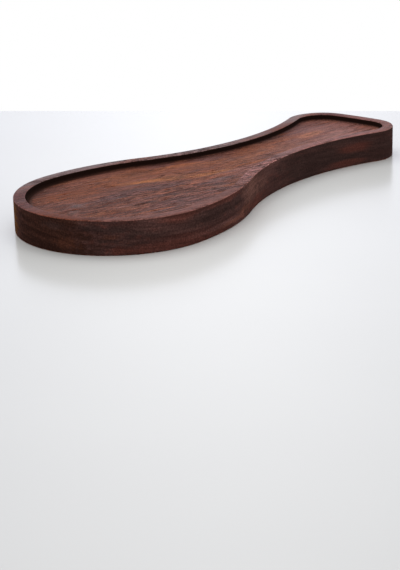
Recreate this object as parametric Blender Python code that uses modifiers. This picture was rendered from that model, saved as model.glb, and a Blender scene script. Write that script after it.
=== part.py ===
"""A wooden spoon rest, modelled in metres with +Z up.

The tray is one board: an hourglass plan, square sides and a shallow recess inside an even rim.
It lies along X with its broad lobe at -X. The origin is the middle of its underside.
"""

from math import atan2, cos, pi, radians, sin, sqrt, tan

import bmesh
import bpy
from mathutils import Vector

# The board
THICKNESS = 0.017

# The plan, a chain of arcs that meet without a kink
LENGTH = 0.2565
LOBE_WIDTH = 0.1036
WAIST_WIDTH = 0.0434
END_WIDTH = 0.0656
CORNER_RADIUS = 0.020
END_RADIUS = 0.220

# How far along the length the waist is narrowest
WAIST_SHARE = 0.686

# How much of the bend from lobe to waist is the flank's round side, the rest being the hollow
FLANK_SHARE = 0.452

# The recess for the spoons
RIM_WIDTH = 0.006
RECESS_DEPTH = 0.0034
FLOOR_COVE = 0.0014

# What sanding takes off each sharp edge
EDGE_EASING = 0.0006

# How far the recess cutter stands above the board
CUTTER_OVERRUN = 0.002

# Steps along each arc and across each rounding
ARC_STEPS = 14
COVE_STEPS = 4
EASING_STEPS = 2

# The angle past which an edge is sharp
SHARP_EDGE = radians(40)

# Doubled points closer than this share of the board's thickness are one point
WELD_SHARE = 0.0001

# Oiled dark wood
WOOD_COLOUR = (0.135, 0.052, 0.034, 1.0)
WOOD_ROUGHNESS = 0.42
WOOD_METALLIC = 0.0


def clear_scene():
    for obj in list(bpy.data.objects):
        bpy.data.objects.remove(obj, do_unlink=True)


def new_collection(name):
    collection = bpy.data.collections.new(name)
    bpy.context.scene.collection.children.link(collection)
    return collection


def wood_material():
    material = bpy.data.materials.new("oiled_dark_wood")
    material.use_nodes = True
    shader = material.node_tree.nodes["Principled BSDF"]
    shader.inputs["Base Color"].default_value = WOOD_COLOUR
    shader.inputs["Roughness"].default_value = WOOD_ROUGHNESS
    shader.inputs["Metallic"].default_value = WOOD_METALLIC
    material.diffuse_color = WOOD_COLOUR
    material.roughness = WOOD_ROUGHNESS
    return material


def radii_sum(run, rise):
    """The sum of the two radii of an S-bend that starts and ends along X, over this run and rise."""
    return (run**2 + rise**2) / (2 * rise)


def side_arcs(inset):
    """The arcs of the +Y side, from the lobe's tip to the end's tip, each a centre, a radius and two angles.

    One S-bend runs from the lobe's widest point down to the waist, another from the waist up to the
    end's corner, and an arc closes each tip, so that every arc touches the next without a kink.
    An inset moves the outline inwards: the round arcs lose it and the hollow ones gain it.
    """
    nose_radius = LOBE_WIDTH / 2
    half_waist = WAIST_WIDTH / 2
    half_end = END_WIDTH / 2
    nose = Vector((nose_radius - LENGTH / 2, 0))
    waist_x = LENGTH * (WAIST_SHARE - 1 / 2)
    end = Vector((LENGTH / 2 - END_RADIUS, 0))
    corner_y = half_end - CORNER_RADIUS
    corner = Vector((end.x + sqrt((END_RADIUS - CORNER_RADIUS) ** 2 - corner_y**2), corner_y))

    lobe_bend = radii_sum(waist_x - nose.x, nose_radius - half_waist)
    flank_radius = lobe_bend * FLANK_SHARE
    hollow_radius = lobe_bend - flank_radius
    flank = Vector((nose.x, nose_radius - flank_radius))
    hollow = Vector((waist_x, half_waist + hollow_radius))
    neck_radius = radii_sum(corner.x - waist_x, half_end - half_waist) - CORNER_RADIUS
    neck = Vector((waist_x, half_waist + neck_radius))

    flank_end = atan2(hollow.y - flank.y, hollow.x - flank.x)
    neck_end = atan2(corner.y - neck.y, corner.x - neck.x)
    corner_end = atan2(corner.y - end.y, corner.x - end.x)
    corner_half = (neck_end + pi + corner_end) / 2
    return [
        (nose, nose_radius - inset, pi, pi / 2),
        (flank, flank_radius - inset, pi / 2, flank_end),
        (hollow, hollow_radius + inset, flank_end - pi, -pi / 2),
        (neck, neck_radius + inset, -pi / 2, neck_end),
        (corner, CORNER_RADIUS - inset, neck_end + pi, corner_half),
        (corner, CORNER_RADIUS - inset, corner_half, corner_end),
        (end, END_RADIUS - inset, corner_end, 0),
    ]


def arc_segment(centre, radius, start, end):
    """One Bezier segment along an arc: its first point, its two handles and its last point."""
    reach = radius * 4 / 3 * tan((end - start) / 4)
    first = centre + radius * Vector((cos(start), sin(start)))
    last = centre + radius * Vector((cos(end), sin(end)))
    return [
        first,
        first + reach * Vector((-sin(start), cos(start))),
        last - reach * Vector((-sin(end), cos(end))),
        last,
    ]


def outline_segments(inset):
    """The closed outline: the +Y side, then the same side mirrored and run back to the start."""
    side = [arc_segment(*arc) for arc in side_arcs(inset)]
    back = [[Vector((point.x, -point.y)) for point in reversed(segment)] for segment in reversed(side)]
    return side + back


def outline_curve(name, inset, height):
    """A flat filled curve of the outline, extruded to the given height about its own plane."""
    curve = bpy.data.curves.new(name, "CURVE")
    curve.dimensions = "2D"
    curve.fill_mode = "BOTH"
    curve.extrude = height / 2
    curve.resolution_u = ARC_STEPS
    segments = outline_segments(inset)
    spline = curve.splines.new("BEZIER")
    spline.use_cyclic_u = True
    spline.bezier_points.add(len(segments) - 1)
    for knot, before, after in zip(spline.bezier_points, segments[-1:] + segments[:-1], segments):
        knot.handle_left_type = "FREE"
        knot.handle_right_type = "FREE"
        knot.co = after[0].to_3d()
        knot.handle_left = before[2].to_3d()
        knot.handle_right = after[1].to_3d()
    return curve


def outline_solid(name, collection, inset, bottom, top):
    """A closed mesh slab of the outline between two heights."""
    curve = outline_curve(name + "_outline", inset, top - bottom)
    flat = bpy.data.objects.new(name + "_outline", curve)
    collection.objects.link(flat)
    flat.location.z = (bottom + top) / 2
    bpy.context.view_layer.update()
    evaluated = flat.evaluated_get(bpy.context.evaluated_depsgraph_get())
    mesh = bpy.data.meshes.new_from_object(evaluated)
    mesh.name = name

    shape = bmesh.new()
    shape.from_mesh(mesh)
    bmesh.ops.remove_doubles(shape, verts=shape.verts, dist=THICKNESS * WELD_SHARE)
    bmesh.ops.recalc_face_normals(shape, faces=shape.faces)
    for side in (-1, 1):
        cap = [face for face in shape.faces if face.normal.z * side > cos(SHARP_EDGE)]
        bmesh.ops.dissolve_faces(shape, faces=cap)
    shape.to_mesh(mesh)
    shape.free()

    solid = bpy.data.objects.new(name, mesh)
    collection.objects.link(solid)
    solid.matrix_world = flat.matrix_world.copy()
    bpy.data.objects.remove(flat, do_unlink=True)
    bpy.data.curves.remove(curve)
    return solid


def add_rounding(obj, name, radius, steps):
    bevel = obj.modifiers.new(name, "BEVEL")
    bevel.width = radius
    bevel.segments = steps
    bevel.limit_method = "ANGLE"
    bevel.angle_limit = SHARP_EDGE
    bevel.use_clamp_overlap = False


def make_recess_cutter(collection):
    """What the recess takes out of the board, with the floor's coved corner on its lower edge."""
    floor = THICKNESS - RECESS_DEPTH
    above = THICKNESS + FLOOR_COVE + CUTTER_OVERRUN
    cutter = outline_solid("recess_cutter", collection, RIM_WIDTH, floor, above)
    add_rounding(cutter, "floor_cove", FLOOR_COVE, COVE_STEPS)
    cutter.display_type = "WIRE"
    cutter.hide_render = True
    return cutter


def make_tray(collection, cutter, material):
    tray = outline_solid("tray", collection, 0, 0, THICKNESS)
    tray.data.materials.append(material)
    tray.data.shade_smooth()
    tray.data.set_sharp_from_angle(angle=SHARP_EDGE)
    recess = tray.modifiers.new("recess", "BOOLEAN")
    recess.operation = "DIFFERENCE"
    recess.object = cutter
    add_rounding(tray, "edge_easing", EDGE_EASING, EASING_STEPS)
    return tray


def main():
    clear_scene()
    cutters = new_collection("cutters")
    cutter = make_recess_cutter(cutters)
    make_tray(new_collection("spoon_rest"), cutter, wood_material())


main()
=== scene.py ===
"""A dark wooden spoon rest on a pale table: the board, its timber and the studio around it."""

from math import atan2, cos, exp, pi, radians, sin, sqrt

import bmesh
import bpy
from bpy.props import FloatProperty, FloatVectorProperty, IntProperty, PointerProperty
from bpy.types import Operator, Panel, PropertyGroup
from mathutils import Matrix, Vector, noise


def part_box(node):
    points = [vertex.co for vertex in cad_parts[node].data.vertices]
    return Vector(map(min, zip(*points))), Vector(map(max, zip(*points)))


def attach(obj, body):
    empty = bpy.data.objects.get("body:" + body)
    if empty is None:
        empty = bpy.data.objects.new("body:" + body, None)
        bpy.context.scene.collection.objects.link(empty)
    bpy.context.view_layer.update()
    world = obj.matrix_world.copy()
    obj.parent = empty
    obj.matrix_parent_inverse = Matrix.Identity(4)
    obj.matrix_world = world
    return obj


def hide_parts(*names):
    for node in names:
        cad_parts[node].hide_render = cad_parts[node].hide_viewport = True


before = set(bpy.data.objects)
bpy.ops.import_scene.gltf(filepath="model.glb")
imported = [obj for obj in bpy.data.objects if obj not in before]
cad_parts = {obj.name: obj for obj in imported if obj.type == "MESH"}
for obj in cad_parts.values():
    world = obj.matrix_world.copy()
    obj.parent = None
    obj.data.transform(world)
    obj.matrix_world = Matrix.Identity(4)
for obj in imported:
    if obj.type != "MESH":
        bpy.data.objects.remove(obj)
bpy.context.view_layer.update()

bl_info = {
    "name": "Wooden Spoon Rest",
    "version": (1, 0, 0),
    "blender": (4, 5, 0),
    "location": "3D View > Sidebar > Spoon Rest",
    "description": "Builds an hourglass spoon rest in dark timber and a pale table for it",
    "category": "Add Mesh",
}

LOW, HIGH = (Vector(corner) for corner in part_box("tray"))

# The picture's long side in pixels, and the sensor's in millimetres
PICTURE_HEIGHT = 570
SENSOR = 36.0

# A length too small to see
HAIR = (HIGH.y - LOW.y) / 10000

# Faces that meet at more than this make a sharp edge
SHARP_EDGE = radians(60)

# Steps across the floor's cove and across each eased edge
COVE_STEPS = 6
EASING_STEPS = 4

# How far the plain border of the floor reaches in from the cove, in the cove's radius; the painted shade at the cove
# fades out across it
FLOOR_BORDER = 1.8

# Waves of the hand-sanded faces to a metre along, across and through the board, and of a nick's ragged edge
SLOW_WAVES = (18, 45, 45)
FINE_WAVES = (70, 160, 160)
RAGGED_WAVES = (900, 1800, 0)

# The fine waves' strength beside the slow ones, and how far along the noise they are read
FINE_SHARE = 0.35
FINE_SHIFT = 9

# How much less painted shade the cove gets than the wall at the lobe, how much less again at the small end, and over
# how many quarters of the length that changes
COVE_LESS_SHADE = 0.20
END_LESS_SHADE = 0.65
LESS_SHADE_RUN = 1.2

# How far around a nick the mesh is cut finer, in its length, and the cuts to an edge
NICK_MARGIN = 2.2
NICK_CUTS = 2

# How far a nick's depth varies
NICK_RAGGED = 0.6


class TraySizes(PropertyGroup):
    """The board's own sizes. Its length, breadth and thickness come from the frame."""

    waist_width: FloatProperty(
        name="Waist", description="Breadth of the board at its narrowest", default=0.0434, unit="LENGTH"
    )
    end_width: FloatProperty(
        name="Small end", description="Breadth of the flared small end", default=0.0656, unit="LENGTH"
    )
    corner_radius: FloatProperty(
        name="Corner", description="Radius of the small end's corners", default=0.020, unit="LENGTH"
    )
    end_radius: FloatProperty(
        name="Blunt end", description="Radius of the small end's blunt tip", default=0.220, unit="LENGTH"
    )
    waist_share: FloatProperty(
        name="Waist place", description="How far along the length the waist lies", default=0.686, subtype="FACTOR"
    )
    flank_share: FloatProperty(
        name="Flank share", description="How much of the long bend is round", default=0.452, subtype="FACTOR"
    )
    rim_width: FloatProperty(
        name="Rim", description="Breadth of the flat rim around the recess", default=0.006, unit="LENGTH"
    )
    recess_depth: FloatProperty(
        name="Recess", description="Depth of the recess below the rim", default=0.0034, unit="LENGTH"
    )
    floor_cove: FloatProperty(
        name="Cove", description="Radius where the recess floor turns up into its wall", default=0.0014, unit="LENGTH"
    )
    edge_easing: FloatProperty(
        name="Easing", description="Radius that sanding leaves on each edge", default=0.0006, unit="LENGTH"
    )
    edge_step: FloatProperty(
        name="Mesh step", description="Length of one mesh edge along the outline", default=0.001, unit="LENGTH"
    )
    floor_cuts: IntProperty(name="Floor cuts", description="Cuts across the recess floor", default=63)
    wall_cuts: IntProperty(name="Wall cuts", description="Cuts down the outer wall", default=7)
    hand_wave: FloatProperty(
        name="Hand wave", description="How far hand sanding strays from the true plane", unit="LENGTH",
        default=0.00007,
    )


def radii_sum(run, rise):
    """The sum of the two radii of an S-bend that starts and ends along X, over this run and rise."""
    return (run**2 + rise**2) / (2 * rise)


def side_arcs(sizes):
    """The arcs of the +Y side from tip to tip, each a centre, a radius and the two angles it runs between."""
    half_length = (HIGH.x - LOW.x) / 2
    nose_radius = (HIGH.y - LOW.y) / 2
    half_waist = sizes.waist_width / 2
    half_end = sizes.end_width / 2
    nose = Vector((nose_radius - half_length, 0))
    waist_x = half_length * (2 * sizes.waist_share - 1)
    end = Vector((half_length - sizes.end_radius, 0))
    corner_y = half_end - sizes.corner_radius
    corner_run = sqrt((sizes.end_radius - sizes.corner_radius) ** 2 - corner_y**2)
    corner = Vector((end.x + corner_run, corner_y))
    lobe_bend = radii_sum(waist_x - nose.x, nose_radius - half_waist)
    flank_radius = lobe_bend * sizes.flank_share
    hollow_radius = lobe_bend - flank_radius
    flank = Vector((nose.x, nose_radius - flank_radius))
    hollow = Vector((waist_x, half_waist + hollow_radius))
    neck_radius = radii_sum(corner.x - waist_x, half_end - half_waist) - sizes.corner_radius
    neck = Vector((waist_x, half_waist + neck_radius))
    flank_end = atan2(hollow.y - flank.y, hollow.x - flank.x)
    neck_end = atan2(corner.y - neck.y, corner.x - neck.x)
    corner_end = atan2(corner.y, corner.x - end.x)
    return [
        (nose, nose_radius, pi, pi / 2),
        (flank, flank_radius, pi / 2, flank_end),
        (hollow, hollow_radius, flank_end - pi, -pi / 2),
        (neck, neck_radius, -pi / 2, neck_end),
        (corner, sizes.corner_radius, neck_end + pi, corner_end),
        (end, sizes.end_radius, corner_end, 0),
    ]


def draw_outline(board, sizes):
    """Spins one point along each arc in turn, and mirrors the side to close the outline."""
    tip = bmesh.ops.create_vert(board, co=(LOW.x, 0, LOW.z))["vert"][0]
    for centre, radius, start, end in side_arcs(sizes):
        turn = end - start
        made = bmesh.ops.spin(
            board,
            geom=[tip],
            cent=centre.to_3d() + Vector((0, 0, LOW.z)),
            axis=(0, 0, 1),
            angle=turn,
            steps=max(2, round(abs(turn) * radius / sizes.edge_step)),
        )
        tip = next(item for item in made["geom_last"] if isinstance(item, bmesh.types.BMVert))
    tip.co.y = 0
    bmesh.ops.mirror(board, geom=board.verts[:] + board.edges[:], axis="Y", merge_dist=sizes.edge_step / 10)


def level_edges(board, height, slack):
    """The sharp edges that lie level at a height: where a wall meets a flat."""
    return [
        edge
        for edge in board.edges
        if len(edge.link_faces) == 2
        and all(abs(vert.co.z - height) < slack for vert in edge.verts)
        and edge.calc_face_angle() > SHARP_EDGE
    ]


def round_edges(board, edges, radius, segments):
    bmesh.ops.bevel(
        board,
        geom=edges,
        offset=radius,
        offset_type="OFFSET",
        segments=segments,
        profile=0.5,
        affect="EDGES",
        material=-1,
        clamp_overlap=False,
    )


def largest_level_face(board, height, slack):
    level = [face for face in board.faces if abs(face.calc_center_median().z - height) < slack]
    return max(level, key=lambda face: face.calc_area())


def lay_rungs(board, face):
    """Ties each point of a flat face to its mirror image across the long axis, like the rungs of a ladder."""
    left, right = (
        sorted((vert for vert in face.verts if side * vert.co.y > HAIR), key=lambda vert: vert.co.x)
        for side in (1, -1)
    )
    if len(left) != len(right):
        raise RuntimeError("the two sides of a flat face have different numbers of points")
    rungs = []
    for pair in zip(left, right):
        rungs += bmesh.ops.connect_verts(board, verts=list(pair))["edges"]
    return rungs


def ripple(point, waves, shift=0):
    """Smooth noise at a point."""
    return noise.noise(Vector((point.x * waves[0] + shift, point.y * waves[1], point.z * waves[2])))


def stray(point, reach):
    """The gentle waviness of a hand-sanded board at a point: long along the grain, short across it."""
    return reach * (ripple(point, SLOW_WAVES) + FINE_SHARE * ripple(point, FINE_WAVES, FINE_SHIFT))


# Where the cutter lifted the grain out of the recess floor: place, length, breadth and depth
NICKS = [
    ((-0.0642, 0.019), 0.003, 0.0011, 0.0005),
    ((-0.0615, 0.0176), 0.0024, 0.001, 0.0004),
    ((-0.0668, 0.0286), 0.0024, 0.0008, 0.00035),
    ((-0.051, -0.0088), 0.0022, 0.0009, 0.00045),
    ((-0.088, 0.0268), 0.0026, 0.0007, 0.0003),
    ((-0.0862, 0.0322), 0.003, 0.0006, 0.00025),
    ((-0.009, -0.0034), 0.0026, 0.0008, 0.00035),
    ((-0.0325, 0.0245), 0.0035, 0.0007, 0.00025),
    ((-0.08, -0.0168), 0.004, 0.0007, 0.00025),
    ((-0.104, 0.002), 0.003, 0.0007, 0.00025),
    ((-0.0245, 0.0105), 0.003, 0.0007, 0.0002),
]

# The nicks lie along the grain
NICK_TURN = radians(-12)


def nick_depth(point):
    depth = 0.0
    for place, length, breadth, deepest in NICKS:
        away = (point.xy - Vector(place)).to_3d()
        away.rotate(Matrix.Rotation(-NICK_TURN, 3, "Z"))
        ragged = 1 + NICK_RAGGED * ripple(point, RAGGED_WAVES)
        depth += deepest * ragged * exp(-((away.x / length) ** 2) - (away.y / breadth) ** 2)
    return depth


def refine_nicks(board, floor_z, slack):
    """Cuts the mesh finer around the nicks, in one pass, so that their shape comes out."""

    def near_nick(vert):
        return abs(vert.co.z - floor_z) < slack and any(
            (vert.co.xy - Vector(place)).length < NICK_MARGIN * length for place, length, *_ in NICKS
        )

    near = [edge for edge in board.edges if all(near_nick(vert) for vert in edge.verts)]
    bmesh.ops.subdivide_edges(board, edges=near, cuts=NICK_CUTS, use_grid_fill=True)


def mark_painted_shade(board, floor_z, top_z):
    """Marks the recess's wall, and less so the cove below it, for the painted shade that darkens them."""
    shade_mask = board.verts.layers.float.new("shade_mask")
    quarter = (HIGH.x - LOW.x) / 4
    for vert in board.verts:
        middle = Vector((max(-quarter, min(quarter, vert.co.x)), 0, vert.co.z))
        leans_in = vert.normal.dot(vert.co - middle) < -HAIR
        if leans_in and floor_z - HAIR < vert.co.z < top_z:
            along = min(1, max(0, (vert.co.x + quarter) / (LESS_SHADE_RUN * quarter)))
            vert[shade_mask] = 1 - (COVE_LESS_SHADE + END_LESS_SHADE * along) * max(0, vert.normal.z) ** 2


def shape_board(sizes):
    """The whole board as one closed mesh."""
    floor_z = HIGH.z - sizes.recess_depth
    slack = sizes.edge_easing / 10
    board = bmesh.new()
    draw_outline(board, sizes)
    underside = bmesh.ops.edgeloop_fill(board, edges=board.edges[:])["faces"]
    raised = bmesh.ops.extrude_face_region(board, geom=underside)["geom"]
    lifted = [item for item in raised if isinstance(item, bmesh.types.BMVert)]
    bmesh.ops.translate(board, verts=lifted, vec=(0, 0, HIGH.z - LOW.z))
    bmesh.ops.recalc_face_normals(board, faces=board.faces)

    top = largest_level_face(board, HIGH.z, slack)
    bmesh.ops.inset_region(board, faces=[top], thickness=sizes.rim_width, use_even_offset=True)
    top = largest_level_face(board, HIGH.z, slack)
    sunk = bmesh.ops.extrude_face_region(board, geom=[top])["geom"]
    bmesh.ops.delete(board, geom=[top], context="FACES_ONLY")
    lowered = [item for item in sunk if isinstance(item, bmesh.types.BMVert)]
    bmesh.ops.translate(board, verts=lowered, vec=(0, 0, -sizes.recess_depth))
    bmesh.ops.recalc_face_normals(board, faces=board.faces)

    round_edges(board, level_edges(board, floor_z, slack), sizes.floor_cove, COVE_STEPS)
    round_edges(board, level_edges(board, HIGH.z, slack), sizes.edge_easing, EASING_STEPS)
    round_edges(board, level_edges(board, LOW.z, slack), sizes.edge_easing, EASING_STEPS)

    wall_span = (HIGH.z - LOW.z) / 2
    uprights = [edge for edge in board.edges if abs(edge.verts[0].co.z - edge.verts[1].co.z) > wall_span]
    bmesh.ops.subdivide_edges(board, edges=uprights, cuts=sizes.wall_cuts)
    lay_rungs(board, largest_level_face(board, LOW.z, slack))
    floor = largest_level_face(board, floor_z, slack)
    border = sizes.floor_cove * FLOOR_BORDER
    bmesh.ops.inset_region(board, faces=[floor], thickness=border, use_even_offset=True)
    rungs = lay_rungs(board, largest_level_face(board, floor_z, slack))
    bmesh.ops.subdivide_edges(board, edges=rungs, cuts=sizes.floor_cuts, use_grid_fill=True)
    refine_nicks(board, floor_z, slack)

    board.normal_update()
    mark_painted_shade(board, floor_z, HIGH.z - sizes.edge_easing / 2)
    for vert in board.verts:
        on_floor = abs(vert.co.z - floor_z) < slack
        if vert.co.z - LOW.z > slack:
            vert.co -= vert.normal * (abs(stray(vert.co, sizes.hand_wave)) + on_floor * nick_depth(vert.co))
    bmesh.ops.remove_doubles(board, verts=board.verts, dist=slack / 100)
    bmesh.ops.recalc_face_normals(board, faces=board.faces)
    return board


class TimberColours(PropertyGroup):
    """The colours of the oiled timber, with painted shade in the sides and the recess's wall, and a painted sheen in
    the rim.
    """

    heart: FloatVectorProperty(
        name="Heartwood", description="Main red-brown of the timber", subtype="COLOR", default=(0.163, 0.054, 0.031)
    )
    warm: FloatVectorProperty(
        name="Warm bands", description="Orange-brown bands", subtype="COLOR", default=(0.210, 0.073, 0.036)
    )
    dark: FloatVectorProperty(
        name="Dark bands", description="Grey-brown growth bands", subtype="COLOR", default=(0.102, 0.040, 0.031)
    )
    # Partly painted sheen: the rim's rose-brown is greyed a little to stand in for the faint reflection on its
    # smoother top
    rim_with_sheen: FloatVectorProperty(
        name="Rim", description="Rose-brown of the finely sanded rim", subtype="COLOR", default=(0.142, 0.063, 0.056)
    )
    # Partly painted shade: the sides are darker than the top partly because oiled side grain is darker, and partly as
    # painted shade
    side: FloatVectorProperty(
        name="Sides", description="Deep brown of the sides, which soak up more oil", subtype="COLOR",
        default=(0.062, 0.028, 0.024),
    )
    # Painted shade: the near black laid on the recess's wall and cove
    recess_shade: FloatVectorProperty(
        name="Recess wall", description="Near black of the recess's wall", subtype="COLOR",
        default=(0.013, 0.0058, 0.0042),
    )
    pore: FloatVectorProperty(
        name="Pores", description="Open pores and torn grain", subtype="COLOR", default=(0.040, 0.009, 0.003)
    )
    dust: FloatVectorProperty(
        name="Filled pores", description="Pores with pale dust in them", subtype="COLOR", default=(0.36, 0.20, 0.14)
    )


# Tints of the floor's figure
BRIGHT = (0.29, 0.108, 0.062)
ORANGE = (0.205, 0.067, 0.029)
GOLD = (0.3, 0.104, 0.038)
RUST = (0.1, 0.024, 0.008)
RUSSET = (0.185, 0.045, 0.01)
PALE_ROSE = (0.25, 0.115, 0.095)
ROSE = (0.195, 0.087, 0.077)
MAUVE = (0.116, 0.05, 0.044)
GREY = (0.108, 0.07, 0.066)
DARK = (0.064, 0.023, 0.015)

# Where the floor's figure gathers, as zones: place, half extents, turn in plan in degrees, tint and strength. One
# dark zone is a painted shadow.
FLOOR_FIGURE = [
    ((-0.038, 0.006), (0.018, 0.0034), -28, GOLD, 0.9),
    ((-0.013, -0.0062), (0.017, 0.0034), -16, GOLD, 0.85),
    ((-0.046, 0.027), (0.028, 0.012), -12, ORANGE, 0.6),
    ((-0.098, 0.027), (0.018, 0.012), -12, RUST, 0.35),
    ((-0.103, 0.008), (0.012, 0.008), 0, MAUVE, 0.6),
    ((-0.099, 0.006), (0.005, 0.0045), 60, GREY, 0.75),
    ((-0.108, 0.003), (0.011, 0.001), -12, RUST, 0.8),
    ((-0.108, 0), (0.005, 0.0025), 20, GREY, 0.5),
    ((-0.074, 0.0025), (0.022, 0.0042), -10, MAUVE, 0.8),
    ((-0.067, 0.005), (0.008, 0.0022), 0, DARK, 0.4),
    ((-0.048, -0.004), (0.02, 0.0052), -12, MAUVE, 0.75),
    ((-0.086, -0.004), (0.015, 0.0024), -18, RUST, 0.45),
    ((-0.103, -0.008), (0.008, 0.003), 0, RUST, 0.6),
    ((-0.098, -0.017), (0.012, 0.0065), -15, RUST, 0.85),
    ((-0.077, -0.0178), (0.009, 0.0013), -10, DARK, 0.8),
    ((-0.06, -0.0225), (0.01, 0.0018), -8, DARK, 0.6),
    ((-0.072, -0.026), (0.014, 0.004), -8, ROSE, 0.3),
    ((-0.07, -0.013), (0.014, 0.003), -8, ROSE, 0.3),
    ((-0.066, -0.0335), (0.018, 0.003), -2, GREY, 0.6),
    ((-0.042, -0.031), (0.014, 0.004), 2, MAUVE, 0.7),
    ((-0.052, -0.026), (0.04, 0.0075), -8, MAUVE, 0.65),
    ((-0.021, -0.019), (0.02, 0.0058), -4, MAUVE, 0.7),
    ((-0.02, -0.017), (0.012, 0.003), -8, GREY, 0.6),
    ((-0.034, -0.027), (0.009, 0.0028), 5, GREY, 0.45),
    ((-0.1, -0.028), (0.02, 0.01), -40, ROSE, 0.25),
    ((-0.01, 0.006), (0.012, 0.0016), -12, RUST, 0.35),
    ((-0.018, 0.027), (0.014, 0.005), -15, MAUVE, 0.8),
    ((0.011, 0.016), (0.008, 0.005), -20, GREY, 0.6),
    ((0.018, 0.004), (0.01, 0.0045), -12, MAUVE, 0.45),
    ((0.04, 0.003), (0.022, 0.0075), 0, ORANGE, 0.65),
    ((0.024, 0.017), (0.014, 0.004), -6, MAUVE, 0.55),
    ((0.057, 0.015), (0.014, 0.0035), 0, GREY, 0.4),
    ((0.068, -0.003), (0.007, 0.0028), -4, GREY, 0.55),
    ((0.088, 0.005), (0.01, 0.0048), 4, BRIGHT, 0.75),
    ((0.093, 0.018), (0.012, 0.006), 20, GREY, 0.4),
    ((0.102, 0.002), (0.032, 0.03), 0, ROSE, 0.8),
    ((0.06, -0.004), (0.034, 0.013), 0, ROSE, 0.3),
    ((-0.035, 0.0255), (0.01, 0.005), -10, DARK, 0.5),
    ((-0.078, 0.023), (0.034, 0.0095), -8, RUSSET, 0.6),
    ((-0.048, 0.012), (0.018, 0.0028), -24, GOLD, 0.65),
    ((-0.05, 0.037), (0.03, 0.006), -6, MAUVE, 0.55),
    # Painted shadow: a dark band on the floor along the far wall at the lobe's left end, where the wall's shade falls
    ((-0.091, 0.0405), (0.032, 0.0072), 27, DARK, 0.75),
    ((-0.082, 0.006), (0.014, 0.005), -10, MAUVE, 0.5),
    ((0.006, -0.015), (0.022, 0.008), -8, ROSE, 0.55),
    ((0.01, -0.006), (0.014, 0.0065), -8, ORANGE, 0.5),
    ((-0.032, 0.006), (0.022, 0.005), -22, GOLD, 0.35),
    ((0.086, 0.005), (0.012, 0.005), 4, BRIGHT, 0.95),
    ((0.009, 0.016), (0.018, 0.007), -14, MAUVE, 0.8),
    ((0.026, 0.0055), (0.011, 0.0035), -8, RUST, 0.35),
    ((0.098, 0.0185), (0.028, 0.0095), 2, MAUVE, 0.55),
    ((0.096, -0.007), (0.018, 0.006), 2, PALE_ROSE, 0.55),
    ((0.084, -0.0158), (0.009, 0.0042), 0, RUST, 0.75),
    ((-0.03, -0.015), (0.012, 0.0045), -10, ROSE, 0.4),
    ((0.035, -0.0055), (0.015, 0.0045), 0, MAUVE, 0.55),
    ((-0.035, 0.0165), (0.01, 0.004), -14, RUST, 0.35),
    ((-0.11, 0.014), (0.012, 0.006), -12, RUST, 0.35),
    ((-0.056, -0.037), (0.034, 0.0065), -10, MAUVE, 0.75),
    ((0.108, -0.015), (0.01, 0.006), 4, PALE_ROSE, 0.45),
    ((-0.01, -0.0058), (0.014, 0.0016), -17, GOLD, 0.7),
]

# Short dark checks and a few pale flecks in the floor, as narrow zones
CHECKS = [
    ((-0.0652, 0.0164), (0.0042, 0.0005), -17, RUST, 0.95),
    ((-0.0682, 0.0264), (0.0022, 0.0005), -25, RUST, 0.8),
    ((-0.052, -0.0106), (0.0026, 0.0006), -18, DARK, 0.95),
    ((-0.0965, 0.02), (0.0018, 0.0006), -15, RUST, 0.7),
    ((-0.1065, 0.004), (0.0105, 0.0005), -14, RUST, 0.85),
    ((-0.0803, -0.0054), (0.014, 0.0008), -13, RUST, 0.85),
    ((-0.0745, -0.0189), (0.0115, 0.0006), -19, RUST, 0.9),
    ((-0.0568, -0.0262), (0.0105, 0.0007), -23, DARK, 0.85),
    ((-0.068, -0.0395), (0.014, 0.0008), -19, DARK, 0.75),
    ((-0.107, -0.0065), (0.0045, 0.0006), -25, RUST, 0.8),
    ((-0.041, -0.011), (0.012, 0.0006), -23, DARK, 0.7),
    ((-0.088, -0.015), (0.005, 0.0008), -16, RUST, 0.8),
    ((-0.0229, 0.0153), (0.0018, 0.0007), -15, RUST, 0.85),
    ((-0.0126, 0.0098), (0.0016, 0.0007), -15, DARK, 0.8),
    ((-0.009, 0.0046), (0.0022, 0.0008), -15, RUST, 0.85),
    ((-0.0123, -0.0051), (0.0024, 0.0007), -15, RUST, 0.95),
    ((-0.0322, 0.0196), (0.003, 0.0006), -15, RUST, 0.8),
    ((0.018, -0.0036), (0.006, 0.0006), -12, RUST, 0.6),
    ((0.04, 0.0029), (0.008, 0.0006), -4, RUST, 0.6),
    ((-0.0245, -0.0228), (0.004, 0.0007), -22, DARK, 0.8),
    ((-0.0526, -0.0386), (0.006, 0.0007), -20, DARK, 0.85),
    ((-0.0332, -0.0335), (0.004, 0.0007), -20, DARK, 0.8),
    ((-0.04, -0.034), (0.011, 0.0006), -20, DARK, 0.7),
    ((-0.023, -0.019), (0.009, 0.0006), -22, DARK, 0.6),
    ((-0.0865, -0.0125), (0.006, 0.0016), -18, PALE_ROSE, 0.5),
    ((-0.065, -0.0362), (0.004, 0.0007), -22, PALE_ROSE, 0.6),
]

# Tints and zones of the rim; the far rim's pale grey is a painted sheen
RIM_DARK = (0.098, 0.036, 0.034)
RIM_LIGHT = (0.275, 0.123, 0.11)
RIM_GREY = (0.21, 0.126, 0.122)
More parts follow.
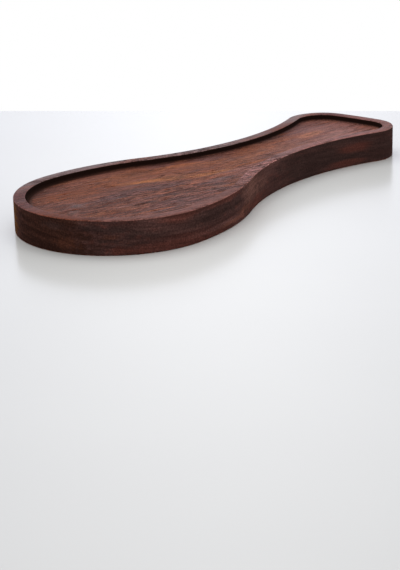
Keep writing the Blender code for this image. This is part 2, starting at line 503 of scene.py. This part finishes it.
# Painted sheen: the grey that the far rim takes, standing in for its reflection of the bright surroundings
RIM_FAR_SHEEN = (0.185, 0.126, 0.124)
RIM_NOSE = (0.125, 0.033, 0.017)
RIM_FIGURE = [
    ((-0.116, 0.028), (0.024, 0.026), 50, RIM_DARK, 0.8),
    ((-0.065, 0.049), (0.06, 0.016), -4, RIM_FAR_SHEEN, 0.9),
    ((0.018, 0.025), (0.05, 0.014), -12, RIM_FAR_SHEEN, 0.8),
    ((0.1, 0.03), (0.02, 0.01), 0, RIM_FAR_SHEEN, 0.9),
    ((0.123, 0.014), (0.01, 0.014), 0, RIM_DARK, 0.75),
    ((-0.123, -0.01), (0.01, 0.022), 10, RIM_NOSE, 0.85),
    ((-0.075, -0.048), (0.05, 0.012), 0, ROSE, 0.35),
    ((-0.004, -0.03), (0.03, 0.013), 22, RIM_LIGHT, 0.95),
    ((0.02, -0.0235), (0.028, 0.009), 0, RIM_LIGHT, 0.9),
    ((0.034, -0.02), (0.012, 0.006), 0, RIM_GREY, 0.6),
    ((0.075, -0.024), (0.044, 0.012), -6, RIM_LIGHT, 0.95),
    ((0.12, -0.016), (0.018, 0.026), 0, ROSE, 0.85),
]

# Tints and zones of the sides, whose places and half extents also have a height; the tan at the waist's near wall is
# partly a painted sheen
SIDE_DARK = (0.036, 0.019, 0.0165)
SIDE_RED = (0.094, 0.0295, 0.022)
SIDE_BROWN = (0.078, 0.027, 0.016)
SIDE_ROSE = (0.092, 0.043, 0.037)
SIDE_NOSE = (0.03, 0.0115, 0.0075)
SIDE_GOLD = (0.12, 0.044, 0.008)
SIDE_FLAME = (0.138, 0.053, 0.037)
# Partly painted sheen: a lighter tan where the near wall at the waist is seen at a grazing angle, standing in for its
# reflection over lighter streaks of grain
SIDE_TAN_SHEEN = (0.128, 0.058, 0.045)
SIDE_FIGURE = [
    ((-0.129, 0, 0.008), (0.016, 0.034, 0.03), 0, SIDE_NOSE, 0.9),
    ((-0.113, 0.036, 0.008), (0.012, 0.017, 0.03), 0, SIDE_GOLD, 0.95),
    ((-0.1275, -0.006, 0.013), (0.004, 0.008, 0.0022), 0, SIDE_DARK, 0.6),
    ((-0.121, -0.025, 0.0133), (0.007, 0.01, 0.0017), 0, SIDE_DARK, 0.85),
    ((-0.114, -0.0345, 0.0122), (0.007, 0.008, 0.0021), 0, SIDE_DARK, 0.9),
    ((-0.1085, -0.0405, 0.0105), (0.006, 0.006, 0.0028), 0, SIDE_DARK, 0.8),
    ((-0.1, -0.0455, 0.0092), (0.008, 0.005, 0.0018), 0, SIDE_DARK, 0.7),
    ((-0.117, -0.0315, 0.007), (0.006, 0.007, 0.0012), 0, SIDE_DARK, 0.75),
    ((-0.11, -0.0395, 0.005), (0.006, 0.006, 0.0009), 0, SIDE_DARK, 0.6),
    ((-0.112, -0.0375, 0.0022), (0.01, 0.009, 0.0022), 0, SIDE_RED, 0.8),
    ((-0.1165, -0.0325, 0.009), (0.004, 0.005, 0.0014), 0, SIDE_BROWN, 0.5),
    ((-0.1265, -0.013, 0.005), (0.004, 0.008, 0.003), 0, SIDE_BROWN, 0.6),
    ((-0.102, -0.046, 0.014), (0.014, 0.009, 0.0035), 0, SIDE_ROSE, 0.6),
    ((-0.088, -0.049, 0.015), (0.012, 0.008, 0.0025), 0, SIDE_RED, 0.7),
    ((-0.064, -0.051, 0.0115), (0.026, 0.01, 0.0038), 0, SIDE_DARK, 0.75),
    ((-0.042, -0.047, 0.012), (0.008, 0.007, 0.0035), 0, SIDE_DARK, 0.6),
    ((-0.056, -0.05, 0.016), (0.024, 0.01, 0.0018), 0, SIDE_RED, 0.6),
    ((-0.078, -0.05, 0.0025), (0.05, 0.016, 0.004), 0, SIDE_RED, 0.7),
    ((-0.056, -0.05, 0.004), (0.026, 0.01, 0.0018), 0, SIDE_ROSE, 0.7),
    ((-0.02, -0.0385, 0.0115), (0.018, 0.012, 0.009), 0, SIDE_TAN_SHEEN, 0.9),
    ((-0.002, -0.0305, 0.012), (0.012, 0.01, 0.008), 0, SIDE_TAN_SHEEN, 0.45),
    ((-0.046, -0.0475, 0.003), (0.016, 0.008, 0.0014), 0, SIDE_FLAME, 0.75),
    ((-0.03, -0.0425, 0.005), (0.012, 0.008, 0.0022), 0, SIDE_FLAME, 0.75),
    ((-0.012, -0.035, 0.003), (0.02, 0.012, 0.003), 0, SIDE_RED, 0.7),
    ((0.014, -0.0265, 0.015), (0.026, 0.012, 0.005), 0, SIDE_ROSE, 0.75),
    ((0.052, -0.023, 0.008), (0.036, 0.01, 0.014), 0, SIDE_DARK, 0.92),
    ((0.092, -0.029, 0.008), (0.03, 0.01, 0.014), 0, SIDE_DARK, 0.55),
    ((0.086, -0.027, 0.0105), (0.014, 0.008, 0.003), 0, SIDE_RED, 0.75),
    ((0.078, -0.026, 0.006), (0.024, 0.01, 0.0016), 0, SIDE_DARK, 0.8),
    ((0.082, -0.026, 0.0155), (0.024, 0.01, 0.0018), 0, SIDE_DARK, 0.75),
    ((0.078, -0.025, 0.0025), (0.018, 0.008, 0.0018), 0, SIDE_RED, 0.7),
    ((0.106, -0.031, 0.009), (0.012, 0.01, 0.014), 0, SIDE_DARK, 0.6),
]

# How far past a zone's edge its frayed fringe may reach, in zone sizes
FRINGE = 2.2

# Where a zone's tint starts and where it is full, on a gradient that is 1 at the zone's centre
ZONE_EDGE = (1 - 1.25 / FRINGE, 1 - 0.35 / FRINGE)

# The rim's timber starts this far above the floor, and is full this far below the top
RIM_START, RIM_FULL = 0.0012, 0.0008

# How far up and down a zone that lies on the floor or rim reaches
ZONE_DEPTH = 0.0016

# How strongly the fibres fray a zone's edge beside the streaks, and the level at which they leave it alone
FIBRE_FRAY, STILL_EDGE = 0.7, 0.85

# How ragged the zones are
FLOOR_RAGGED, CHECK_RAGGED, RIM_RAGGED, SIDE_RAGGED = 1.3, 0.5, 1.2, 1.4

# The grain's course across the board is a slope and a bend, which has a reach, a place and a tightness
GRAIN_SLOPE = -0.06
BEND_REACH, BEND_PLACE, BEND_TIGHTNESS = -0.0208, 0.48, 12.0

# How the grain dips through the thickness
GRAIN_DIP = 0.06

# How far below the board the pith lies, and how far it wanders sideways
PITH_DEPTH, PITH_WANDER = 0.045, 0.014

# Noises: features to a metre along, across and through the grain, detail, roughness, distortion, and a shift
# that sets one noise apart from another
WANDER = ((9, 26, 26), 2)
RINGS = ((4.5, 150, 1), 4, 0.55, 0.3)
GRAIN_NOISES = {
    "streak": ((16, 330, 330), 3, 0.55),
    "hue": ((20, 380, 380), 2, 0.55, 0, 3),
    "fibre": ((32, 650, 650), 3, 0.62),
    "grit": ((190, 1050, 1050), 2, 0.65),
    "vein": ((6, 280, 280), 1, 0.5, 0, 7),
    "pore": ((150, 1500, 1500), 1),
    "speck": ((520, 1500, 1500), 1, 0.5, 0, 5),
    "patch": ((30, 70, 70), 2, 0.5, 0, 11),
}
SAND = ((1400, 1400, 1400), 1)
LAYERS = ((34, 38, 460), 4, 0.66)
LAYERS_TURN = -0.12

# The spans below are readings of a noise or a place. Two of them become 0 and 1, and where there are four
# numbers, the first two become the last two.

# Where the growth bands and the hue tint the timber
WARM_BANDS = (0.46, 0.70)
DARK_BANDS = (0.48, 0.30, 0, 0.7)
MAUVE_HUE = (0.54, 0.70, 0, 0.45)
ORANGE_HUE = (0.44, 0.28, 0, 0.25)
SIDE_BANDS = (0.40, 0.62, 0.15, 0)
RED_HUE = (0.52, 0.70, 0, 0.5)
RIM_TINT = 0.65

# How rough the cut is, by place
CUT = 1.15
LOBE_ALONG = (0.03, -0.04)
LOBE_ACROSS = (0.018, -0.008, 0, 0.8)
NECK_START = (-0.050, -0.030, 0, 1.1)
NECK_FINISH = (0.032, 0.012)
RIM_SMOOTHER = 0.25
END_SMOOTHER = (0.04, 0.07, 0, 0.25)
CUT_PATCHES = (0.3, 0.7, -0.3, 0.3)

# How the finest marks lighten and darken the colour, in doublings
FIBRE_SHADE = (0.25, 0.75, -0.55, 0.40)
GRIT_SHADE = (0.2, 0.8, -1.2, 1.0)
SAND_SHADE = (0.2, 0.8, -0.80, 0.80)
STREAK_SHADE = (0.25, 0.75, -0.25, 0.25)
FLOOR_SHADE = (-0.090, -0.055, 0.14, 0.24)
LAYER_SHADE = (0.25, 0.75, -0.62, 0.50)
SIDE_SAND = 0.62
SIDE_CONTRAST = (0.020, -0.040, 0.9, 1.4)

# Light flecks are weaker than the dark pores and lines
MARK_STRENGTH, LIGHT_WEAKER = 0.85, -0.30

# Painted highlight: both eased edges of the rim are lightened, as if catching the light
EDGE_HIGHLIGHT_BELOW = (HIGH.z - 0.0007, HIGH.z - 0.0002, 0, 0.65)
EDGE_HIGHLIGHT_ABOVE = (HIGH.z - 0.00003, HIGH.z - 0.00012)

# Veins run where their noise is at a level, and the rougher the cut, the more the pores open. At the most they
# hide this much of the colour below.
VEIN_LEVEL, VEIN_MOST, PORE_MOST = 0.5, 0.8, 0.9
VEIN_WIDTH = (0.026, 0.006)
VEIN_PATCHES = (0.40, 0.58, 0.15, 0.70)
PORE_WIDTH = (0.58, 0.68)
OPEN_GAIN, OPEN_START = 0.7, -0.35

# Pale dust in some of the pores
DUST_SPECKS = (0.66, 0.76, 0, 0.7)
DUST_PATCHES = (0.5, 0.66)

# How far a face turns up before it stops counting as a side, and how far the painted shade darkens a face in the
# recess
UPRIGHT = (0.75, 0.15)
PAINTED_SHADE_SPAN = (0.0, 0.9, 0, 0.97)

# Roughness by the fibres, what an open pore adds to it, and the least that a side has
FIBRE_ROUGH = (0.3, 0.7, 0.40, 0.54)
PORE_ROUGH, SIDE_ROUGH = 0.25, 0.95

# Relief: the shares of fibres, grit and pores in it, its strength and its depth
FIBRE_RELIEF, GRIT_RELIEF, PORE_RELIEF = 0.6, 0.4, 0.6
RELIEF_STRENGTH, RELIEF_DEPTH = 0.32, 0.0002

# How much the oiled surface shines
SHINE = 0.02


def lay_flat(zones, height):
    """Gives zones that are placed in plan a height and a depth."""
    return [((*centre, height), (*reach, ZONE_DEPTH), *rest) for centre, reach, *rest in zones]


class Tree:
    """Adds nodes to a material or world. A value that is a socket is linked, and any other value is set."""

    def __init__(self, owner):
        owner.use_nodes = True
        self.tree = owner.node_tree
        self.shader = self.tree.nodes.get("Principled BSDF")

    def put(self, socket, value):
        if isinstance(value, bpy.types.NodeSocket):
            self.tree.links.new(value, socket)
        elif socket.type == "RGBA":
            socket.default_value = (*value[:3], 1)
        else:
            socket.default_value = value

    def add(self, kind, settings=None, **inputs):
        """Adds a node. An input is given by its name, or by its number after an underscore."""
        node = self.tree.nodes.new("ShaderNode" + kind)
        for name, value in (settings or {}).items():
            setattr(node, name, value)
        for name, value in inputs.items():
            self.put(node.inputs[int(name[1:]) if name[0] == "_" else name], value)
        return node

    def math(self, operation, *values):
        node = self.add("Math", {"operation": operation})
        for socket, value in zip(node.inputs, values):
            self.put(socket, value)
        return node.outputs[0]

    def times(self, first, second):
        return self.math("MULTIPLY", first, second)

    def mix(self, factor, first, second):
        node = self.add("Mix", {"data_type": "RGBA"}, _0=factor, _6=first, _7=second)
        return node.outputs[2]

    def scale(self, vector, factor):
        return self.add("VectorMath", {"operation": "SCALE"}, _0=vector, Scale=factor).outputs[0]

    def span(self, value, low, high, to_low=0.0, to_high=1.0, kind="SMOOTHSTEP"):
        """Maps low..high to to_low..to_high, eased at both ends and clamped."""
        node = self.add("MapRange", {"interpolation_type": kind}, _0=value)
        for index, number in enumerate((low, high, to_low, to_high), start=1):
            node.inputs[index].default_value = number
        return node.outputs[0]

    def ramp(self, value, low, high, to_low, to_high):
        """Maps low..high to to_low..to_high in a straight line, clamped."""
        return self.span(value, low, high, to_low, to_high, "LINEAR")

    def mapping(self, vector, place=(0, 0, 0), turn=(0, 0, 0), scale=(1, 1, 1), kind="POINT"):
        node = self.add("Mapping", {"vector_type": kind}, Vector=vector)
        node.inputs["Location"].default_value = place
        node.inputs["Rotation"].default_value = turn
        node.inputs["Scale"].default_value = scale
        return node.outputs[0]

    def noise(self, vector, scale, detail=2.0, roughness=0.5, distortion=0.0, shift=0):
        """Noise whose size is given along each axis."""
        if shift:
            vector = self.mapping(vector, place=(shift, shift, shift))
        node = self.add(
            "TexNoise",
            Vector=self.mapping(vector, scale=scale),
            Scale=1,
            Detail=detail,
            Roughness=roughness,
            Distortion=distortion,
        )
        return node.outputs[0]


class Timber(Tree):
    """The oiled timber, worked out from place alone, so that its grain runs on through the board."""

    def __init__(self, material, colours, floor_z):
        super().__init__(material)
        self.colours = colours
        self.floor_z = floor_z
        self.place = self.add("TexCoord").outputs["Object"]
        self.x, self.y, self.z = self.add("SeparateXYZ", Vector=self.place).outputs
        self.grain = self.course_of_grain()
        self.band = self.growth_bands()
        # Streaks, fibres and pores, each finer than the last, and what sanding left
        self.noises = {name: self.noise(self.grain, *spec) for name, spec in GRAIN_NOISES.items()}
        self.sanding = self.ramp(self.noise(self.place, *SAND), *SAND_SHADE)
        self.on_rim = self.span(self.z, floor_z + RIM_START, HIGH.z - RIM_FULL)

    def course_of_grain(self):
        """The grain crosses the lobe at a slant, straightens towards the small end and dips through the thickness."""
        bend = self.math("TANH", self.math("MULTIPLY_ADD", self.x, BEND_TIGHTNESS, BEND_PLACE))
        course = self.math("MULTIPLY_ADD", self.x, GRAIN_SLOPE, self.times(bend, BEND_REACH))
        across = self.math("SUBTRACT", self.y, course)
        through = self.math("ADD", self.z, self.times(self.x, GRAIN_DIP))
        return self.add("CombineXYZ", X=self.x, Y=across, Z=through).outputs[0]

    def growth_bands(self):
        """Bands by the distance from a pith that lies below the board."""
        wander = self.math("SUBTRACT", self.noise(self.grain, *WANDER), 0.5)
        along, across, through = self.add("SeparateXYZ", Vector=self.grain).outputs
        across = self.math("ADD", across, self.times(wander, PITH_WANDER))
        depth = self.math("ADD", through, PITH_DEPTH)
        radius = self.math("SQRT", self.math("ADD", self.times(across, across), self.times(depth, depth)))
        return self.noise(self.add("CombineXYZ", X=along, Y=radius).outputs[0], *RINGS)

    def figure(self, colour, zones, ragged):
        """Lays each zone's tint over a colour, with edges that fray along the grain."""
        fray = self.math("MULTIPLY_ADD", self.noises["fibre"], FIBRE_FRAY, self.noises["streak"])
        fray = self.times(self.math("SUBTRACT", STILL_EDGE, fray), ragged / FRINGE)
        for centre, reach, turn, tint, strength in zones:
            scale = [size * FRINGE for size in reach]
            local = self.mapping(self.place, centre, (0, 0, radians(turn)), scale, "TEXTURE")
            near = self.add("TexGradient", {"gradient_type": "SPHERICAL"}, Vector=local)
            near = self.math("ADD", near.outputs["Fac"], fray)
            colour = self.mix(self.span(near, *ZONE_EDGE, 0, strength), colour, tint)
        return colour

    def top_figure(self):
        """The bands, hues and zones of the floor and of the rim."""
        hue = self.noises["hue"]
        colour = self.mix(self.span(self.band, *WARM_BANDS), self.colours.heart, self.colours.warm)
        colour = self.mix(self.span(self.band, *DARK_BANDS), colour, self.colours.dark)
        floor = self.figure(colour, lay_flat(FLOOR_FIGURE, self.floor_z), FLOOR_RAGGED)
        floor = self.mix(self.span(hue, *MAUVE_HUE), floor, MAUVE)
        floor = self.mix(self.span(hue, *ORANGE_HUE), floor, ORANGE)
        floor = self.figure(floor, lay_flat(CHECKS, self.floor_z), CHECK_RAGGED)
        rim_with_sheen = self.mix(RIM_TINT, colour, self.colours.rim_with_sheen)
        rim_with_sheen = self.figure(rim_with_sheen, lay_flat(RIM_FIGURE, HIGH.z), RIM_RAGGED)
        return self.mix(self.on_rim, floor, rim_with_sheen)

    def roughness_of_cut(self):
        """The lobe's floor was cut rougher than the rest, most at -Y, and the rim smoother but for its neck."""
        lobe = self.times(self.span(self.x, *LOBE_ALONG), self.span(self.y, *LOBE_ACROSS))
        neck = self.times(self.span(self.x, *NECK_START), self.span(self.x, *NECK_FINISH))
        cut = self.mix(self.on_rim, lobe, self.math("SUBTRACT", neck, RIM_SMOOTHER))
        cut = self.math("SUBTRACT", cut, self.span(self.x, *END_SMOOTHER))
        return self.math("ADD", self.math("ADD", cut, CUT), self.span(self.noises["patch"], *CUT_PATCHES))

    def brighten(self, colour, doublings):
        return self.scale(colour, self.math("POWER", 2.0, doublings))

    def mark_top(self, colour, cut):
        """Lightens and darkens the top by its fibres, grit, sanding and streaks, and paints a highlight along the
        rim's eased edges.
        """
        lines = self.ramp(self.noises["fibre"], *FIBRE_SHADE)
        grains = self.ramp(self.noises["grit"], *GRIT_SHADE)
        marks = self.times(self.math("ADD", self.math("ADD", lines, grains), self.sanding), cut)
        weaker = self.times(self.math("ABSOLUTE", marks), LIGHT_WEAKER)
        marks = self.math("MULTIPLY_ADD", marks, MARK_STRENGTH, weaker)
        shade = self.math("ADD", marks, self.ramp(self.noises["streak"], *STREAK_SHADE))
        on_floor = self.math("SUBTRACT", 1.0, self.on_rim)
        shade = self.math("ADD", shade, self.times(self.span(self.x, *FLOOR_SHADE), on_floor))
        edge_highlight = self.times(self.span(self.z, *EDGE_HIGHLIGHT_BELOW), self.span(self.z, *EDGE_HIGHLIGHT_ABOVE))
        return self.brighten(colour, self.math("ADD", shade, edge_highlight))

    def open_pores(self, cut):
        """How open the pores are."""
        open_grain = self.math("MAXIMUM", self.math("MULTIPLY_ADD", cut, OPEN_GAIN, OPEN_START), 0.0)
        return self.times(self.span(self.noises["pore"], *PORE_WIDTH), open_grain)

    def fill_top(self, colour, cut, pores):
        """Veins, pores and dust in the top."""
        patch = self.noises["patch"]
        off_vein = self.math("ABSOLUTE", self.math("SUBTRACT", self.noises["vein"], VEIN_LEVEL))
        veins = self.times(self.span(off_vein, *VEIN_WIDTH), self.times(self.span(patch, *VEIN_PATCHES), cut))
        colour = self.mix(self.math("MINIMUM", veins, VEIN_MOST), colour, self.colours.pore)
        colour = self.mix(self.math("MINIMUM", pores, PORE_MOST), colour, self.colours.pore)
        dust = self.times(self.span(self.noises["speck"], *DUST_SPECKS), self.span(patch, *DUST_PATCHES))
        return self.mix(dust, colour, self.colours.dust)

    def side_figure(self):
        """The sides soak up more oil, which evens out their figure. Their colour is darker than the top's partly from
        that oil and partly as painted shade, for faces turned from the light.
        """
        side = self.mix(self.span(self.band, *SIDE_BANDS), self.colours.side, SIDE_DARK)
        side = self.mix(self.span(self.noises["hue"], *RED_HUE), side, SIDE_RED)
        side = self.figure(side, SIDE_FIGURE, SIDE_RAGGED)
        layers = self.noise(self.mapping(self.grain, turn=(LAYERS_TURN, 0, 0)), *LAYERS)
        shade = self.math("MULTIPLY_ADD", self.sanding, SIDE_SAND, self.ramp(layers, *LAYER_SHADE))
        return self.brighten(side, self.times(shade, self.span(self.x, *SIDE_CONTRAST)))

    def finish(self, cut, pores, matt):
        """Matt sides and pores, and fibres that stand up."""
        rough = self.math("ADD", self.span(self.noises["fibre"], *FIBRE_ROUGH), self.times(pores, PORE_ROUGH))
        rough = self.math("MAXIMUM", rough, self.times(matt, SIDE_ROUGH))
        self.put(self.shader.inputs["Roughness"], rough)
        fibres = self.times(self.noises["fibre"], FIBRE_RELIEF)
        relief = self.math("ADD", fibres, self.times(self.noises["grit"], GRIT_RELIEF))
        relief = self.math("SUBTRACT", relief, self.span(self.noises["pore"], *PORE_WIDTH, 0, PORE_RELIEF))
        strength = self.times(cut, RELIEF_STRENGTH)
        bump = self.add("Bump", Height=relief, Strength=strength, Distance=RELIEF_DEPTH)
        self.put(self.shader.inputs["Normal"], bump.outputs[0])
        self.shader.inputs["Specular IOR Level"].default_value = SHINE


def timber_material(colours, floor_z):
    material = bpy.data.materials.new("oiled_dark_wood")
    timber = Timber(material, colours, floor_z)
    top = timber.top_figure()
    cut = timber.roughness_of_cut()
    top = timber.mark_top(top, cut)
    pores = timber.open_pores(cut)
    top = timber.fill_top(top, cut, pores)

    normal = timber.add("NewGeometry").outputs["Normal"]
    facing_up = timber.add("SeparateXYZ", Vector=normal).outputs[2]
    upright = timber.span(timber.math("ABSOLUTE", facing_up), *UPRIGHT)
    # Upright faces take the sides' colour, which holds painted shade as well as their own darker tone
    colour = timber.mix(upright, top, timber.side_figure())
    # Painted shade: the recess's wall and cove are darkened to near black, which fades out across the floor's border
    shade_mask = timber.add("Attribute", {"attribute_name": "shade_mask"}).outputs["Fac"]
    painted_shade = timber.ramp(shade_mask, *PAINTED_SHADE_SPAN)
    colour = timber.mix(painted_shade, colour, colours.recess_shade)
    timber.put(timber.shader.inputs["Base Color"], colour)
    timber.finish(cut, pores, timber.math("MAXIMUM", upright, painted_shade))
    return material


class SPOONREST_OT_board(Operator):
    """Build the hourglass board with its recess, and its timber."""

    bl_idname = "spoonrest.board"
    bl_label = "Wooden board"

    def execute(self, context):
        sizes = context.scene.spoonrest_sizes
        board = shape_board(sizes)
        mesh = bpy.data.meshes.new("wooden_board")
        board.to_mesh(mesh)
        board.free()
        mesh.shade_smooth()
        mesh.materials.append(timber_material(context.scene.spoonrest_timber, HIGH.z - sizes.recess_depth))
        piece = bpy.data.objects.new("wooden_board", mesh)
        context.scene.collection.objects.link(piece)
        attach(piece, "root")
        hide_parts("tray")
        return {"FINISHED"}


class StageSettings(PropertyGroup):
    """The table, the light and the camera."""

    table: FloatVectorProperty(
        name="Table", description="Colour of the pale table", subtype="COLOR", default=(0.768, 0.763, 0.748)
    )
    table_gloss: FloatProperty(
        name="Table roughness", description="How blurred the table's reflections are", default=0.20, subtype="FACTOR"
    )
    table_turn: FloatProperty(
        name="Table turn", description="Direction of the table's length in plan", default=radians(41), unit="ROTATION"
    )
    far_edge: FloatProperty(
        name="Far edge", description="How far behind the board the table meets the white", unit="LENGTH",
        default=0.1981,
    )
    far_edge_turn: FloatProperty(
        name="Far edge turn", description="Direction the far edge faces, in plan", unit="ROTATION",
        default=radians(34.0),
    )
    ambient: FloatProperty(name="Ambient", description="Level of the even light all round", default=0.80)
    reflected: FloatVectorProperty(
        name="Reflected", description="Cool white of the surroundings in reflections", subtype="COLOR", max=2.0,
        default=(1.25, 1.28, 1.45),
    )
    softbox_power: FloatProperty(name="Softbox", description="Power of the softbox above and behind", default=5.1)
    softbox_colour: FloatVectorProperty(
        name="Softbox colour", description="The softbox's slightly cool white", subtype="COLOR",
        default=(0.95, 0.98, 1.00),
    )
    softbox_size: FloatProperty(name="Softbox size", description="Side of the softbox", default=0.9, unit="LENGTH")
    softbox_place: FloatVectorProperty(
        name="Softbox place", description="Where the softbox hangs", subtype="TRANSLATION", unit="LENGTH",
        default=(0.10, 0.25, 1.00),
    )
    camera_place: FloatVectorProperty(
        name="Camera place", description="Where the camera stands", subtype="TRANSLATION", unit="LENGTH",
        default=(-0.60059, -0.51000, 0.21406),
    )
    camera_heading: FloatProperty(
        name="Heading", description="Direction of view in plan, from +X", default=radians(41.194), unit="ROTATION"
    )
    camera_dip: FloatProperty(
        name="Dip", description="How far the camera looks down", default=radians(18.670), unit="ROTATION"
    )
    camera_roll: FloatProperty(
        name="Roll", description="How far the camera leans", default=radians(-1.537), unit="ROTATION"
    )
    focal_pixels: FloatProperty(name="Focal length", description="Focal length in picture pixels", default=1538.0)


# Half the table's side, and the nearest thing that the camera sees
TABLE_REACH = 6
NEAREST = 0.01

# A painted pool of light makes the table brightest along a middle of this breadth and length, centred this far along
LIGHT_POOL_BREADTH = 0.122
LIGHT_POOL_LENGTH = 0.70
LIGHT_POOL_PLACE = 0.067

# The table's level outside the painted pool of light, and how much brighter the pool makes its middle
OUTSIDE_POOL_LEVEL = 0.55
LIGHT_POOL_GAIN = 0.474

# The table's faint mottle: its noise, its readings, and what it does to the colour and the gloss
MOTTLE = ((9, 9, 9), 2)
MOTTLE_SPAN = (0.3, 0.7)
MOTTLE_DARKER = 0.985
MOTTLE_BLUR = 1.1

# Over how far the table turns to white at its far edge
EDGE_BLUR = 0.001


def link(obj):
    bpy.context.scene.collection.objects.link(obj)
    return obj


def aim(obj, place, forward, roll=0.0):
    """Stands a camera or lamp at a place, looking along a direction."""
    forward = forward.normalized()
    right = forward.cross(Vector((0, 0, 1))).normalized()
    up = right.cross(forward)
    leaned_right = cos(roll) * right + sin(roll) * up
    leaned_up = cos(roll) * up - sin(roll) * right
    turn = Matrix((leaned_right, leaned_up, -forward)).transposed()
    obj.matrix_world = Matrix.Translation(place) @ turn.to_4x4()


def table_material(stage):
    material = bpy.data.materials.new("pale_table")
    nodes = Tree(material)
    place = nodes.add("TexCoord").outputs["Object"]

    def turned(angle):
        """How far along and across a direction in plan a point lies."""
        return nodes.add("SeparateXYZ", Vector=nodes.mapping(place, turn=(0, 0, -angle))).outputs

    # Painted light: a pool of light painted on the table, brightest along its middle and dimming gently away from it
    along, across, _ = turned(stage.table_turn)
    across = nodes.math("DIVIDE", across, LIGHT_POOL_BREADTH)
    along = nodes.math("DIVIDE", nodes.math("SUBTRACT", along, LIGHT_POOL_PLACE), LIGHT_POOL_LENGTH)
    away = nodes.math("MULTIPLY_ADD", across, across, nodes.math("MULTIPLY_ADD", along, along, 1.0))
    level = nodes.math("ADD", nodes.math("DIVIDE", LIGHT_POOL_GAIN, away), OUTSIDE_POOL_LEVEL)
    mottle = nodes.noise(place, *MOTTLE)
    darker = [part * MOTTLE_DARKER for part in stage.table]
    colour = nodes.mix(nodes.span(mottle, *MOTTLE_SPAN), stage.table, darker)
    nodes.put(nodes.shader.inputs["Base Color"], nodes.scale(colour, level))
    rough = nodes.span(mottle, *MOTTLE_SPAN, stage.table_gloss, stage.table_gloss * MOTTLE_BLUR)
    nodes.put(nodes.shader.inputs["Roughness"], rough)

    # Past its far edge the camera sees white
    outwards = turned(stage.far_edge_turn)[0]
    past_edge = nodes.span(outwards, stage.far_edge - EDGE_BLUR, stage.far_edge + EDGE_BLUR)
    white = nodes.times(past_edge, nodes.add("LightPath").outputs["Is Camera Ray"])
    glow = nodes.add("Emission", Color=(1, 1, 1), Strength=1.0)
    blend = nodes.add("MixShader", _0=white, _1=nodes.shader.outputs[0], _2=glow.outputs[0])
    nodes.put(nodes.tree.nodes["Material Output"].inputs["Surface"], blend.outputs[0])
    return material


def light_world(stage):
    """Dim even light for the object, and a white surrounding for what is seen directly or in a reflection."""
    world = bpy.data.worlds.new("studio")
    bpy.context.scene.world = world
    nodes = Tree(world)
    nodes.tree.nodes.remove(nodes.tree.nodes["Background"])
    white = nodes.add("Background", Color=(1, 1, 1)).outputs[0]
    reflected = nodes.add("Background", Color=stage.reflected).outputs[0]
    surroundings = nodes.add("Background", Color=(1, 1, 1), Strength=stage.ambient).outputs[0]
    path = nodes.add("LightPath").outputs
    for ray, seen in (("Is Glossy Ray", reflected), ("Is Transmission Ray", reflected), ("Is Camera Ray", white)):
        surroundings = nodes.add("MixShader", _0=path[ray], _1=surroundings, _2=seen).outputs[0]
    nodes.put(nodes.tree.nodes["World Output"].inputs["Surface"], surroundings)


class SPOONREST_OT_stage(Operator):
    """Lay the pale table, light it softly from above and behind, and stand the camera."""

    bl_idname = "spoonrest.stage"
    bl_label = "Table, light and camera"

    def execute(self, context):
        stage = context.scene.spoonrest_stage
        ground = bmesh.new()
        bmesh.ops.create_grid(ground, x_segments=1, y_segments=1, size=TABLE_REACH)
        bmesh.ops.translate(ground, verts=ground.verts, vec=(0, 0, LOW.z))
        mesh = bpy.data.meshes.new("table")
        ground.to_mesh(mesh)
        ground.free()
        mesh.materials.append(table_material(stage))
        link(bpy.data.objects.new("table", mesh))

        light_world(stage)
        lamp = bpy.data.lights.new("softbox", "AREA")
        lamp.energy = stage.softbox_power
        lamp.color = stage.softbox_colour
        lamp.shape = "SQUARE"
        lamp.size = stage.softbox_size
        place = Vector(stage.softbox_place)
        aim(link(bpy.data.objects.new("softbox", lamp)), place, -place)

        lens = bpy.data.cameras.new("camera")
        lens.sensor_width = SENSOR
        lens.lens = stage.focal_pixels * SENSOR / PICTURE_HEIGHT
        lens.clip_start = NEAREST
        camera = link(bpy.data.objects.new("camera", lens))
        heading = Vector((cos(stage.camera_heading), sin(stage.camera_heading), 0))
        forward = heading * cos(stage.camera_dip) - Vector((0, 0, sin(stage.camera_dip)))
        aim(camera, Vector(stage.camera_place), forward, stage.camera_roll)
        context.scene.camera = camera
        context.scene.view_settings.view_transform = "Standard"
        return {"FINISHED"}


class SPOONREST_PT_panel(Panel):
    """The spoon rest's tools in the 3D view's sidebar."""

    bl_label = "Spoon Rest"
    bl_space_type = "VIEW_3D"
    bl_region_type = "UI"
    bl_category = "Spoon Rest"

    def draw(self, context):
        for group in ("spoonrest_sizes", "spoonrest_timber", "spoonrest_stage"):
            settings = getattr(context.scene, group)
            box = self.layout.box()
            for name in settings.bl_rna.properties.keys():
                if name not in ("rna_type", "name"):
                    box.prop(settings, name)
        for operator in (SPOONREST_OT_board, SPOONREST_OT_stage):
            self.layout.operator(operator.bl_idname)


CLASSES = (TraySizes, TimberColours, StageSettings, SPOONREST_OT_board, SPOONREST_OT_stage, SPOONREST_PT_panel)


def register():
    for cls in CLASSES:
        bpy.utils.register_class(cls)
    bpy.types.Scene.spoonrest_sizes = PointerProperty(type=TraySizes)
    bpy.types.Scene.spoonrest_timber = PointerProperty(type=TimberColours)
    bpy.types.Scene.spoonrest_stage = PointerProperty(type=StageSettings)


def unregister():
    for name in ("spoonrest_sizes", "spoonrest_timber", "spoonrest_stage"):
        delattr(bpy.types.Scene, name)
    for cls in reversed(CLASSES):
        bpy.utils.unregister_class(cls)


def main():
    register()
    bpy.ops.spoonrest.stage()
    bpy.ops.spoonrest.board()


if __name__ == "__main__":
    main()
